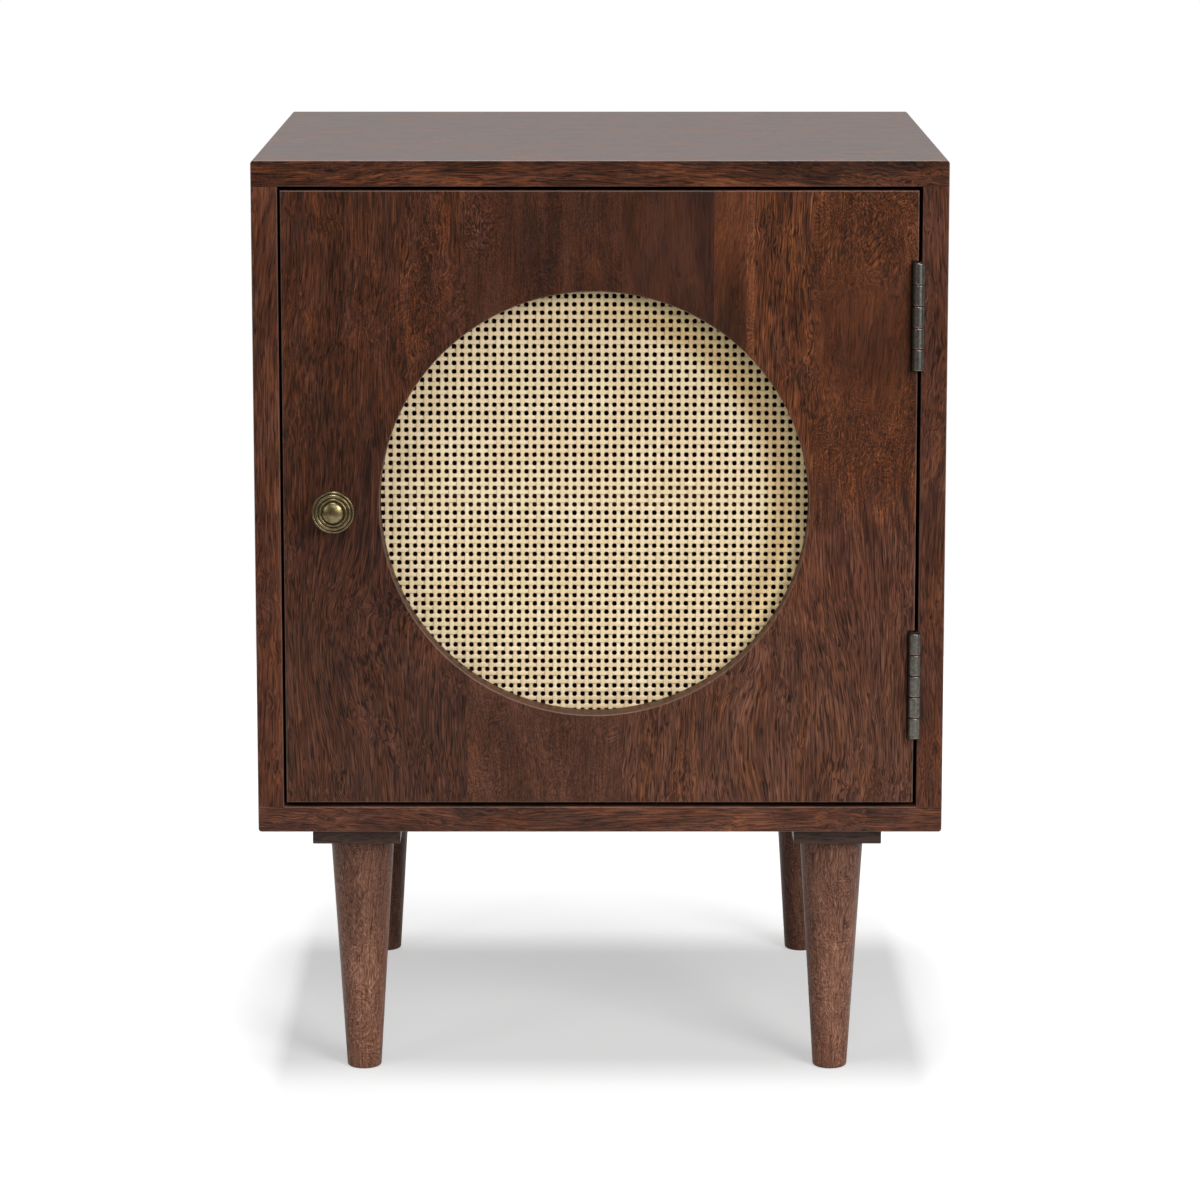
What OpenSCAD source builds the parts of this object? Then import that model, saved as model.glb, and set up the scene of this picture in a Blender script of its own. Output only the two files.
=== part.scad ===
// Bedside pot cupboard: a boarded box on four turned legs, with one hinged door
// whose round window is filled with open woven cane.
// X runs across the front, Y from front to back and Z up from the floor.
// The origin is on the floor, under the middle of the cupboard and its knob.

/* [Carcass] */
// Width across the outsides of the two sides
body_w = 450; // [438:1:600]
// Depth of the boards, from the front edges to the back edges
body_d = 400; // [320:1:500]
// Height of the boarded box, without the legs
body_h = 443; // [410:1:560]
// Thickness of the top, bottom and side boards
board_t = 17; // [15:0.5:19]
// Rounding of the four long outer corners
corner_r = 2.5; // [1:0.5:5]
// Easing of the front edges, the shelf, the blocks and the door
edge_r = 1; // [0.5:0.25:1.5]

/* [Dowels] */
// Diameter of the dowels that join the boards
dowel_d = 8; // [6:0.5:9]
// Length of a dowel in the top or bottom board
dowel_in_board = 11; // [8:0.5:12]
// Length of a dowel in the end of a side
dowel_in_side = 19; // [14:1:24]
// Distance of the first and last dowel from the front and back edges
dowel_inset = 40; // [28:1:60]
// Number of dowels in each corner joint
dowel_count = 4; // [3:1:6]

/* [Back panel] */
// Thickness of the back panel
back_t = 9; // [6:0.5:12]
// Distance of the panel's back face inside the boards' back edges
back_recess = 1; // [0.5:0.5:3]
// Width of the rebate that the panel sits in
rebate_w = 10; // [8:0.5:12]
// Number of screws up each side of the panel
back_side_screws = 4; // [3:1:6]
// Number of screws along its top and along its bottom
back_end_screws = 3; // [2:1:5]
// Distance of the outermost screws from the panel's corners
back_screw_inset = 50; // [30:1:80]

/* [Shelf] */
// Thickness of the shelf
shelf_t = 15; // [12:0.5:20]
// Clear height between the bottom board and the shelf
shelf_h = 190; // [120:1:220]
// Distance of the shelf's front edge behind the carcass front
shelf_setback = 60; // [40:1:150]
// Depth of the grooves in the sides that carry the shelf
groove_d = 6; // [4:0.5:8]

/* [Legs] */
// Length of a leg below its block
leg_h = 160; // [100:1:220]
// Diameter of a leg at its top
leg_top_d = 42.5; // [32:0.5:50]
// Diameter of a leg at its foot
leg_foot_d = 23; // [18:0.5:30]
// Rounding of the foot
leg_foot_r = 2; // [1:0.5:4]
// Distance of a leg's axis from the outside of the carcass side
leg_inset_x = 68; // [50:1:90]
// Distance of a leg's axis from the front or back of the carcass
leg_inset_y = 49; // [40:1:80]
// Distance that all the legs stand left of their place
leg_off = 2; // [0:0.5:4]
// Further distance that the right rear leg stands left
rear_right_off = 6.5; // [0:0.5:8]

/* [Leg blocks] */
// Width and depth of the square block above each leg
block_w = 58; // [54:1:70]
// Thickness of a block
block_t = 13; // [11:0.5:18]
// Distance that a block's centre lies outboard of its leg's axis
block_shift = 2.5; // [0:0.5:4]
// Diameter of the screws that hold a block
block_screw_d = 4; // [3:0.5:5]
// Length of those screws
block_screw_l = 24; // [18:1:25]
// Distance of a block's screws from its edges
block_screw_inset = 8; // [7:0.5:9]

/* [Leg bolts] */
// Diameter of the bolt between a leg and its block
bolt_d = 8; // [6:0.5:9]
// Length of a bolt in its leg
bolt_in_leg = 38; // [25:1:50]
// Length of a bolt above the top of its leg
bolt_above_leg = 22; // [19:0.5:24]
// Outer diameter of the threaded insert in a block
insert_d = 12; // [11:0.5:16]

/* [Door] */
// Thickness of the door
door_t = 20; // [18.5:0.5:24]
// Gap at the free edge
gap_free = 1.8; // [1.5:0.1:4]
// Gap at the hinge edge
gap_hinge = 2.3; // [2:0.1:3.5]
// Gap above the door
gap_top = 2.5; // [1.5:0.1:4]
// Gap below the door
gap_bottom = 2.9; // [1.5:0.1:4]

/* [Cane window] */
// Wood that a window in the door's middle would leave at the nearest edges
window_edge = 62.05; // [57:0.05:90]
// Distance of its centre from the door's middle, toward the free edge
window_shift = 3.4; // [-8:0.1:4]
// Distance of its centre below the door's middle
window_drop = 3.4; // [-8:0.1:8]
// Thickness of the cane
cane_t = 1.5; // [1:0.1:2]
// Spacing of the strands of the open net
cane_pitch = 14; // [14:0.5:28]
// Width of a strand
cane_strand = 7; // [3:0.5:9]
// Distance that the cane runs on past the window's edge
cane_margin = 11.5; // [9:0.5:13]

/* [Retaining ring] */
// Width of the wooden ring that holds the cane
ring_w = 16; // [14:0.5:18]
// Thickness of the ring
ring_t = 6; // [4:0.5:8]
// Number of screws in the ring
ring_screws = 8; // [6:1:12]
// Diameter of the ring's screws
ring_screw_d = 2.5; // [2:0.25:3]
// Length of the ring's screws
ring_screw_l = 18; // [12:1:19]

/* [Hinges] */
// Length of a hinge
hinge_l = 70; // [60:1:90]
// Number of knuckles in a hinge
knuckle_count = 5; // [3:2:7]
// Outer diameter of the knuckles
barrel_d = 8; // [7:0.25:9]
// Diameter of a hinge pin
pin_d = 4; // [3:0.25:4.5]
// Thickness of a leaf
leaf_t = 1.6; // [1.2:0.1:1.8]
// Width of a leaf behind the front face
leaf_w = 17; // [14:0.5:18]
// Gap between the two leaves of the closed hinge
leaf_gap = 1.4; // [1:0.1:1.8]
// Distance of the leaf screws from a leaf's front and back edges
hinge_screw_edge = 6.5; // [5.5:0.1:7]
// Distance of the outer screws from a leaf's ends
hinge_screw_end = 9.8; // [7:0.1:14]
// Distance of the upper hinge below the door's top edge
hinge_top_inset = 46.2; // [30:0.1:70]
// Distance of the lower hinge above the door's bottom edge
hinge_bottom_inset = 44.2; // [30:0.1:70]
// Diameter of the hinge screws
hinge_screw_d = 3.2; // [2.5:0.1:3.5]
// Length of the hinge screws in the carcass side
side_screw_l = 14; // [10:1:14]
// Length of the hinge screws in the door's edge
door_screw_l = 20; // [14:1:26]

/* [Knob] */
// Diameter of the knob
knob_d = 27.4; // [24:0.2:32]
// Distance that the knob stands out from the door
knob_reach = 24; // [20:0.5:30]
// Diameter of the foot that stands on the door
knob_foot_d = 16; // [13:0.5:20]
// Diameter of the neck behind the head
knob_neck_d = 11; // [9:0.5:12]
// Diameter of the domed button in the middle of the face
knob_dome_d = 13.8; // [10:0.2:15]
// Radius of the button's low dome
knob_dome_r = 14; // [11:0.5:24]
// Width of the rounded rim round the face
knob_rim_w = 1.5; // [1:0.1:2.5]
// Width of the raised ring inside the rim
knob_ring_w = 2.2; // [1:0.1:3]
// Width of the bead round the button
knob_bead_w = 1.5; // [1:0.1:2]
// Distance of the knob's axis from the door's free edge
knob_inset = 33.5; // [28:0.5:36]
// Distance of the knob's axis below the door's middle
knob_drop = 5; // [-10:0.5:20]
// Diameter of the screw that holds the knob
knob_screw_d = 4; // [3:0.5:5]
// Length of that screw inside the knob
knob_screw_in = 10; // [7:0.5:12]

/* [Magnet catch] */
// Width of the catch across its two ears
catch_w = 46; // [42:1:60]
// Depth of the catch, front to back
catch_d = 15; // [13:0.5:20]
// Distance of its middle from the side board at the door's free edge
catch_inset = 45; // [32:1:60]
// Distance of the magnet's middle below the top board
catch_drop = 9; // [9:0.25:12]
// Width of the magnet and its pole plates
magnet_w = 20; // [14:0.5:22]
// Depth of the magnet and of its pocket
magnet_depth = 11; // [9:0.5:12]
// Thickness of the magnet between its plates
magnet_t = 5; // [4:0.25:6]
// Thickness of a pole plate
pole_t = 1.2; // [1:0.1:1.5]
// Thickness of the strike plate on the door
strike_t = 1.2; // [1:0.1:2]
// Width of the strike plate
strike_w = 30; // [24:1:36]
// Height of the strike plate
strike_h = 9.5; // [9:0.25:10]
// Diameter of the screws in the catch and the strike plate
catch_screw_d = 3; // [2.5:0.1:3.5]
// Length of those screws
catch_screw_l = 13; // [10:1:15]

/* [Hidden] */
$fn = 96;
// Radial clearance of a screw, dowel or bolt in its hole
hole_clear = 0.05;
// Clear space beyond the end of a dowel or bolt
end_clear = 1;
// Clearance round the back panel and the shelf's ends
panel_clear = 0.3;
// Clearance of the cane in its recess and of a leaf in its mortise
recess_clear = 0.2;
// Running clearance of a hinge pin
pin_clear = 0.05;
// Gap between neighbouring knuckles
knuckle_gap = 0.3;
// Rounding of the ends of a knuckle, and chamfer of a hinge pin
knuckle_round = 0.8;
pin_chamfer = 0.4;
// Gap between a hinge barrel and the front faces behind it
barrel_clear = 0.3;
// Gap between a leaf's plate and the barrel
plate_clear = 0.2;
// Air gap between the pole plates and the strike plate of the closed door
catch_gap = 0.3;
// Distance that the pole plates stand out of the catch
pole_proud = 1;
// Thickness of the catch's ears
ear_t = 4;
// Wall of the catch round its magnet
catch_wall = 2;
// Width of the solid edge round the open net, inside the window
net_edge = 1;
// Overrun that lets a cut pass clear of a face
over = 1;

// Main planes
half_w = body_w / 2;
front_y = (knob_reach - body_d) / 2;
back_y = front_y + body_d;
floor_z = leg_h + block_t;
roof_z = floor_z + body_h;
inner_x = half_w - board_t;
inner_z0 = floor_z + board_t;
inner_z1 = roof_z - board_t;
rebate_y = back_y - back_t - back_recess;
shelf_z = inner_z0 + shelf_h;
shelf_y = front_y + shelf_setback;

// Door planes: the free edge is on the left and the hinge edge on the right
door_x0 = -inner_x + gap_free;
door_x1 = inner_x - gap_hinge;
door_z0 = inner_z0 + gap_bottom;
door_z1 = inner_z1 - gap_top;
door_back_y = front_y + door_t;
door_w = door_x1 - door_x0;
door_h = door_z1 - door_z0;
door_mid = [(door_x0 + door_x1) / 2, front_y, (door_z0 + door_z1) / 2];
window_d = min(door_w, door_h) - 2 * window_edge;
window_at = door_mid - [window_shift, 0, window_drop];
cane_y = door_back_y - cane_t;
ring_y = door_back_y;
cane_r = window_d / 2 + cane_margin;
knob_at = [door_x0 + knob_inset, front_y, door_mid[2] - knob_drop];

// Hinge axis and the height of each hinge's lower end
pin_to_face = barrel_d / 2 + barrel_clear;
pin_x = inner_x - leaf_t - leaf_gap / 2;
pin_y = front_y - pin_to_face;
upper_hinge_z = door_z1 - hinge_top_inset - hinge_l;
lower_hinge_z = door_z0 + hinge_bottom_inset;
knuckle_l = hinge_l / knuckle_count;
mortise_x = pin_x - leaf_gap / 2 - leaf_t;

// Magnet catch
catch_x = -inner_x + catch_inset;
magnet_z = inner_z1 - catch_drop;
pole_y = door_back_y + strike_t + catch_gap;
catch_y = pole_y + pole_proud;
stack_t = magnet_t + 2 * pole_t;
catch_body_w = magnet_w + 2 * catch_wall;
catch_screw_x = (catch_w + catch_body_w) / 4;

// Legs
leg_x = half_w - leg_inset_x;
leg_front_y = front_y + leg_inset_y;
leg_back_y = back_y - leg_inset_y;
// X of a leg's axis and of its block's middle, at sx = -1 left or 1 right
function leg_at(sx, y) = sx * leg_x - leg_off - (sx > 0 && y > 0 ? rear_right_off : 0);
function block_at(sx, y) = leg_at(sx, y) + sx * block_shift;
leg_axes = [for (sx = [-1, 1], y = [leg_front_y, leg_back_y]) [leg_at(sx, y), y, leg_h]];

// Directions that a screw or bore points in
UP = [0, 0, 0];
TO_BACK = [-90, 0, 0];
TO_FRONT = [90, 0, 0];
TO_RIGHT = [0, 90, 0];
TO_LEFT = [0, -90, 0];

// Evenly spaced places from a to b
function spread(a, b, n) = [for (i = [0 : n - 1]) a + (b - a) * i / (n - 1)];

// Screw and dowel places
dowel_x = half_w - board_t / 2;
dowel_spots = [for (y = spread(front_y + dowel_inset, back_y - dowel_inset, dowel_count)) [dowel_x, y, 0]];
back_screw_x = inner_x + rebate_w / 2;
back_screw_z = [inner_z0 - rebate_w / 2, inner_z1 + rebate_w / 2];
back_screw_y = rebate_y + back_t;
back_screw_d = 3;
back_screw_l = 22;
back_screw_rows = spread(inner_z0 + back_screw_inset, inner_z1 - back_screw_inset, back_side_screws);
back_screw_columns = spread(-inner_x + back_screw_inset, inner_x - back_screw_inset, back_end_screws);
back_screw_spots = concat(
    [for (sx = [-1, 1], z = back_screw_rows) [sx * back_screw_x, back_screw_y, z]],
    [for (z = back_screw_z, x = back_screw_columns) [x, back_screw_y, z]]);
block_screw_reach = block_w / 2 - block_screw_inset;
block_screw_spots = [for (sx = [-1, 1], y = [leg_front_y, leg_back_y], s = [-1, 1])
    [block_at(sx, y) + s * block_screw_reach, y + s * block_screw_reach, leg_h]];
ring_mid_r = (window_d + ring_w) / 2;
ring_screw_spots = [for (i = [0 : ring_screws - 1])
    let (a = 360 * (i + 0.5) / ring_screws)
    window_at + [ring_mid_r * cos(a), door_t + ring_t, ring_mid_r * sin(a)]];
// Three screws a leaf, the middle one nearer the pin
leaf_screw_yz = [
    [leaf_w - hinge_screw_edge, hinge_screw_end],
    [hinge_screw_edge, hinge_l / 2],
    [leaf_w - hinge_screw_edge, hinge_l - hinge_screw_end]];
function leaf_screw_spots(x, z0) = [for (s = leaf_screw_yz) [x, front_y + s[0], z0 + s[1]]];
side_leaf_face = pin_x + leaf_gap / 2;
door_leaf_face = pin_x - leaf_gap / 2;
catch_screw_spots = [for (s = [-1, 1])
    [catch_x + s * catch_screw_x, catch_y + catch_d / 2, inner_z1 - ear_t]];
strike_screw_spots = [[catch_x, door_back_y + strike_t, magnet_z]];

// Colours of the finishes
stained_wood = "#50321f";
leg_wood = "#6e4637";
raw_wood = "#c9a97a";
back_wood = "#6b4a33";
cane_straw = "#e8d4aa";
antique_brass = "#8a7440";
dark_bronze = "#4a4038";
zinc = "#b8bab8";
magnet_grey = "#3a3a3c";
catch_brown = "#4b382c";

// ---------- Shared shapes ----------

// Puts a copy at each place, pointing one way
module place(spots, turn = UP) {
    for (p = spots) translate(p) rotate(turn) children();
}

// A box between two opposite corners
module block(low, high) {
    translate(low) cube(high - low);
}

// The corner between a sharp edge at the origin and the round of radius r that
// replaces it, where the wood lies toward +X and +Y
module arris_profile(r) {
    difference() {
        translate([-over, -over]) square(r + over);
        translate([r, r]) circle(r);
    }
}

// Cutters that round an edge along X, Y or Z. turn brings the wood from the
// quadrant of the two positive axes to where it lies.
module ease_z(at, len, r, turn = 0) {
    translate(at) rotate([0, 0, turn]) linear_extrude(len) arris_profile(r);
}
module ease_x(at, len, r, turn = 0) {
    translate(at) rotate([turn, 0, 0]) rotate([90, 0, 90]) linear_extrude(len) arris_profile(r);
}
module ease_y(at, len, r, turn = 0) {
    translate(at) rotate([0, turn, 0]) rotate([0, -90, -90]) linear_extrude(len) arris_profile(r);
}

// Countersunk slotted screw with its head's face at the origin, pointing +Z
module wood_screw(d, len) {
    slot_w = 0.28 * d;
    slot_depth = 0.22 * d;
    difference() {
        rotate_extrude() polygon([[0, 0], [d, 0], [d / 2, d / 2], [d / 2, len - d], [0, len]]);
        translate([-d - over, -slot_w / 2, -over]) cube([2 * (d + over), slot_w, over + slot_depth]);
    }
}

// The countersunk hole that this screw seats in
module screw_hole(d, len) {
    rotate_extrude() polygon([[0, -over], [d, -over], [d, 0], [d / 2, d / 2], [0, d / 2]]);
    cylinder(d = d + 2 * hole_clear, h = len + end_clear);
}

// Round rod with chamfered ends, along +Z
module rod(d, len, chamfer) {
    r = d / 2;
    rotate_extrude() polygon([
        [0, 0], [r - chamfer, 0], [r, chamfer], [r, len - chamfer], [r - chamfer, len], [0, len]]);
}

// Round rod with rounded ends, along +Z
module rounded_rod(d, len, round_r) {
    core_r = d / 2 - round_r;
    rotate_extrude() union() {
        square([core_r, len]);
        translate([0, round_r]) square([d / 2, len - 2 * round_r]);
        for (z = [round_r, len - round_r]) translate([core_r, z]) circle(round_r);
    }
}

// ---------- Carcass ----------

// Top or bottom board with its outer face up at z = 0 and its inner face below
module end_board() {
    difference() {
        block([-half_w, front_y, -board_t], [half_w, back_y, 0]);
        // Outer front and back edges, and the front edge over the opening
        ease_x([-half_w - over, front_y, 0], body_w + 2 * over, edge_r, -90);
        ease_x([-half_w - over, back_y, 0], body_w + 2 * over, edge_r, 180);
        ease_x([-inner_x, front_y, -board_t], 2 * inner_x, edge_r, 0);
        // Front and back corners of the two ends
        for (m = [0, 1]) mirror([m, 0, 0]) {
            ease_z([-half_w, front_y, -board_t - over], board_t + 2 * over, edge_r, 0);
            ease_z([-half_w, back_y, -board_t - over], board_t + 2 * over, edge_r, -90);
            ease_y([-half_w, front_y - over, 0], body_d + 2 * over, corner_r, 90);
            // Dowel bores up from the inner face
            place(dowel_spots) translate([0, 0, -board_t - over])
                cylinder(d = dowel_d + 2 * hole_clear, h = over + dowel_in_board + end_clear);
        }
        // Rebate for the back panel
        block([-inner_x - rebate_w, rebate_y, -board_t - over],
            [inner_x + rebate_w, back_y + over, -board_t + rebate_w]);
    }
}

module top_board() {
    color(stained_wood) difference() {
        translate([0, 0, roof_z]) end_board();
        place(back_screw_spots, TO_FRONT) screw_hole(back_screw_d, back_screw_l);
        place(catch_screw_spots, UP) screw_hole(catch_screw_d, catch_screw_l);
    }
}

module bottom_board() {
    color(stained_wood) difference() {
        translate([0, 0, floor_z]) mirror([0, 0, 1]) end_board();
        place(back_screw_spots, TO_FRONT) screw_hole(back_screw_d, back_screw_l);
        place(block_screw_spots, UP) screw_hole(block_screw_d, block_screw_l);
        // Room for the ends of the leg bolts
        place(leg_axes) cylinder(d = bolt_d + 2 * end_clear, h = bolt_above_leg + end_clear);
    }
}

// Right-hand side board, without its hinge holes
module side_board() {
    height = inner_z1 - inner_z0;
    difference() {
        block([inner_x, front_y, inner_z0], [half_w, back_y, inner_z1]);
        ease_z([half_w, front_y, inner_z0 - over], height + 2 * over, edge_r, 90);
        ease_z([half_w, back_y, inner_z0 - over], height + 2 * over, edge_r, 180);
        ease_z([inner_x, front_y, inner_z0], height, edge_r, 0);
        // Rebate for the back panel
        block([inner_x - over, rebate_y, inner_z0 - over],
            [inner_x + rebate_w, back_y + over, inner_z1 + over]);
        // Stopped groove for the shelf
        block([inner_x - over, shelf_y, shelf_z], [inner_x + groove_d, rebate_y + over, shelf_z + shelf_t]);
        // Dowel bores in both ends
        place(dowel_spots) {
            translate([0, 0, inner_z0 - over])
                cylinder(d = dowel_d + 2 * hole_clear, h = over + dowel_in_side + end_clear);
            translate([0, 0, inner_z1 - dowel_in_side - end_clear])
                cylinder(d = dowel_d + 2 * hole_clear, h = dowel_in_side + end_clear + over);
        }
        place(back_screw_spots, TO_FRONT) screw_hole(back_screw_d, back_screw_l);
    }
}

module left_side() {
    color(stained_wood) mirror([1, 0, 0]) side_board();
}

module right_side() {
    color(stained_wood) difference() {
        side_board();
        for (z0 = [upper_hinge_z, lower_hinge_z])
            place(leaf_screw_spots(side_leaf_face, z0), TO_RIGHT) screw_hole(hinge_screw_d, side_screw_l);
    }
}

module back_panel() {
    reach_x = inner_x + rebate_w - panel_clear;
    reach_z = rebate_w - panel_clear;
    color(back_wood) difference() {
        block([-reach_x, rebate_y, inner_z0 - reach_z], [reach_x, rebate_y + back_t, inner_z1 + reach_z]);
        place(back_screw_spots, TO_FRONT) screw_hole(back_screw_d, back_screw_l);
    }
}

module shelf() {
    reach_x = inner_x + groove_d - panel_clear;
    color(stained_wood) difference() {
        block([-reach_x, shelf_y, shelf_z], [reach_x, rebate_y, shelf_z + shelf_t]);
        ease_x([-inner_x, shelf_y, shelf_z], 2 * inner_x, edge_r, 0);
        ease_x([-inner_x, shelf_y, shelf_z + shelf_t], 2 * inner_x, edge_r, -90);
    }
}

module carcass_dowels() {
    dowel_l = dowel_in_board + dowel_in_side;
    color(raw_wood) for (m = [0, 1], z = [inner_z0 - dowel_in_board, inner_z1 - dowel_in_side])
        mirror([m, 0, 0]) place(dowel_spots) translate([0, 0, z]) rod(dowel_d, dowel_l, edge_r);
}

module back_panel_screws() {
    color(zinc) place(back_screw_spots, TO_FRONT) wood_screw(back_screw_d, back_screw_l);
}

// ---------- Legs and blocks ----------

// Block above the leg at sx = -1 left or 1 right, y = its leg's axis
module leg_block(sx, y) {
    low = [block_at(sx, y) - block_w / 2, y - block_w / 2, leg_h];
    high = low + [block_w, block_w, block_t];
    color(stained_wood) difference() {
        block(low, high);
        ease_x([low[0] - over, low[1], low[2]], block_w + 2 * over, edge_r, 0);
        ease_x([low[0] - over, high[1], low[2]], block_w + 2 * over, edge_r, 90);
        ease_y([low[0], low[1] - over, low[2]], block_w + 2 * over, edge_r, 0);
        ease_y([high[0], low[1] - over, low[2]], block_w + 2 * over, edge_r, -90);
        place(block_screw_spots, UP) screw_hole(block_screw_d, block_screw_l);
        translate([leg_at(sx, y), y, leg_h - over])
            cylinder(d = insert_d + 2 * hole_clear, h = block_t + 2 * over);
    }
}

// Turned leg: a straight taper with a rounded foot, bored for its bolt
module leg(sx, y) {
    top_r = leg_top_d / 2;
    foot_r = leg_foot_d / 2;
    color(leg_wood) translate([leg_at(sx, y), y, 0]) difference() {
        rotate_extrude() union() {
            polygon([[0, 0], [foot_r - leg_foot_r, 0], [foot_r - leg_foot_r, leg_foot_r],
                [foot_r, leg_foot_r], [top_r, leg_h], [0, leg_h]]);
            translate([foot_r - leg_foot_r, leg_foot_r]) intersection() {
                circle(leg_foot_r);
                translate([0, -leg_foot_r]) square(leg_foot_r);
            }
        }
        translate([0, 0, leg_h - bolt_in_leg - end_clear])
            cylinder(d = bolt_d + 2 * hole_clear, h = bolt_in_leg + end_clear + over);
    }
}

module leg_bolts() {
    color(zinc) place(leg_axes) translate([0, 0, -bolt_in_leg])
        rod(bolt_d, bolt_in_leg + bolt_above_leg, edge_r);
}

module leg_inserts() {
    color(antique_brass) place(leg_axes) difference() {
        translate([0, 0, end_clear]) cylinder(d = insert_d, h = block_t - end_clear);
        cylinder(d = bolt_d + 2 * hole_clear, h = block_t + over);
    }
}

module leg_block_screws() {
    color(zinc) place(block_screw_spots, UP) wood_screw(block_screw_d, block_screw_l);
}

// ---------- Magnet catch ----------

module catch_housing() {
    body_h = catch_drop + stack_t / 2 + catch_wall;
    color(catch_brown) difference() {
        union() {
            block([catch_x - catch_w / 2, catch_y, inner_z1 - ear_t],
                [catch_x + catch_w / 2, catch_y + catch_d, inner_z1]);
            block([catch_x - catch_body_w / 2, catch_y, inner_z1 - body_h],
                [catch_x + catch_body_w / 2, catch_y + catch_d, inner_z1]);
        }
        // Pocket for the magnet and its plates, open to the front
        block([catch_x - magnet_w / 2, catch_y - over, magnet_z - stack_t / 2],
            [catch_x + magnet_w / 2, catch_y + magnet_depth, magnet_z + stack_t / 2]);
        place(catch_screw_spots, UP) screw_hole(catch_screw_d, catch_screw_l);
    }
}

module catch_magnet() {
    color(magnet_grey) block([catch_x - magnet_w / 2, catch_y, magnet_z - magnet_t / 2],
        [catch_x + magnet_w / 2, catch_y + magnet_depth, magnet_z + magnet_t / 2]);
}

module catch_pole_plates() {
    color(zinc) for (z = [magnet_z - stack_t / 2, magnet_z + magnet_t / 2])
        block([catch_x - magnet_w / 2, pole_y, z],
            [catch_x + magnet_w / 2, catch_y + magnet_depth, z + pole_t]);
}

module catch_screws() {
    color(zinc) place(catch_screw_spots, UP) wood_screw(catch_screw_d, catch_screw_l);
}

// ---------- Hinges ----------

// One leaf about its pin, standing on z = 0. side is 1 for the leaf on the
// carcass side and -1 for the door's. first is the number of its lowest knuckle.
module hinge_leaf(side, first) {
    near = leaf_gap / 2;
    plate_y = pin_to_face + plate_clear;
    mirror([side > 0 ? 0 : 1, 0, 0]) difference() {
        union() {
            block([near, plate_y, 0], [near + leaf_t, pin_to_face + leaf_w, hinge_l]);
            for (k = [first : 2 : knuckle_count - 1]) {
                z0 = k * knuckle_l + (k == 0 ? 0 : knuckle_gap / 2);
                z1 = (k + 1) * knuckle_l - (k == knuckle_count - 1 ? 0 : knuckle_gap / 2);
                translate([0, 0, z0]) rounded_rod(barrel_d, z1 - z0, knuckle_round);
                block([near, 0, z0 + knuckle_round],
                    [near + leaf_t, plate_y + over, z1 - knuckle_round]);
            }
        }
        translate([0, 0, -over]) cylinder(d = pin_d + 2 * pin_clear, h = hinge_l + 2 * over);
    }
}

// A leaf in place on the hinge whose lower end is at z0, drilled for its screws
module side_leaf(z0) {
    color(dark_bronze) difference() {
        translate([pin_x, pin_y, z0]) hinge_leaf(1, 0);
        place(leaf_screw_spots(side_leaf_face, z0), TO_RIGHT) screw_hole(hinge_screw_d, side_screw_l);
    }
}
module door_leaf(z0) {
    color(dark_bronze) difference() {
        translate([pin_x, pin_y, z0]) hinge_leaf(-1, 1);
        place(leaf_screw_spots(door_leaf_face, z0), TO_LEFT) screw_hole(hinge_screw_d, door_screw_l);
    }
}

module hinge_pin(z0) {
    color(dark_bronze) translate([pin_x, pin_y, z0]) rod(pin_d, hinge_l, pin_chamfer);
}

module hinge_side_screws() {
    color(dark_bronze) for (z0 = [upper_hinge_z, lower_hinge_z])
        place(leaf_screw_spots(side_leaf_face, z0), TO_RIGHT) wood_screw(hinge_screw_d, side_screw_l);
}

module hinge_door_screws() {
    color(dark_bronze) for (z0 = [upper_hinge_z, lower_hinge_z])
        place(leaf_screw_spots(door_leaf_face, z0), TO_LEFT) wood_screw(hinge_screw_d, door_screw_l);
}

// ---------- Door ----------

// Edge-glued door with its round window, the recess for the cane behind it and
// the two hinge mortises
module door_panel() {
    color(stained_wood) difference() {
        block([door_x0, front_y, door_z0], [door_x1, door_back_y, door_z1]);
        // Front arrises
        ease_x([door_x0 - over, front_y, door_z0], door_w + 2 * over, edge_r, 0);
        ease_x([door_x0 - over, front_y, door_z1], door_w + 2 * over, edge_r, -90);
        ease_z([door_x0, front_y, door_z0 - over], door_h + 2 * over, edge_r, 0);
        ease_z([door_x1, front_y, door_z0 - over], door_h + 2 * over, edge_r, 90);
        // Window with its eased front rim, and the cane's recess
        translate(window_at) rotate(TO_BACK) {
            translate([0, 0, -over]) cylinder(d = window_d, h = door_t + 2 * over, $fn = 180);
            rotate_extrude($fn = 180) translate([window_d / 2, 0]) arris_profile(edge_r);
            translate([0, 0, door_t - cane_t])
                cylinder(r = cane_r + recess_clear, h = cane_t + over, $fn = 180);
        }
        // Mortises for the door leaves
        for (z0 = [upper_hinge_z, lower_hinge_z])
            block([mortise_x, front_y - over, z0 - recess_clear],
                [door_x1 + over, front_y + leaf_w + recess_clear, z0 + hinge_l + recess_clear]);
        for (z0 = [upper_hinge_z, lower_hinge_z])
            place(leaf_screw_spots(door_leaf_face, z0), TO_LEFT) screw_hole(hinge_screw_d, door_screw_l);
        translate(knob_at - [0, over, 0]) rotate(TO_BACK)
            cylinder(d = knob_screw_d + 4 * hole_clear, h = door_t + 2 * over);
        place(ring_screw_spots, TO_FRONT) screw_hole(ring_screw_d, ring_screw_l);
        place(strike_screw_spots, TO_FRONT) screw_hole(catch_screw_d, catch_screw_l);
    }
}

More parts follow.
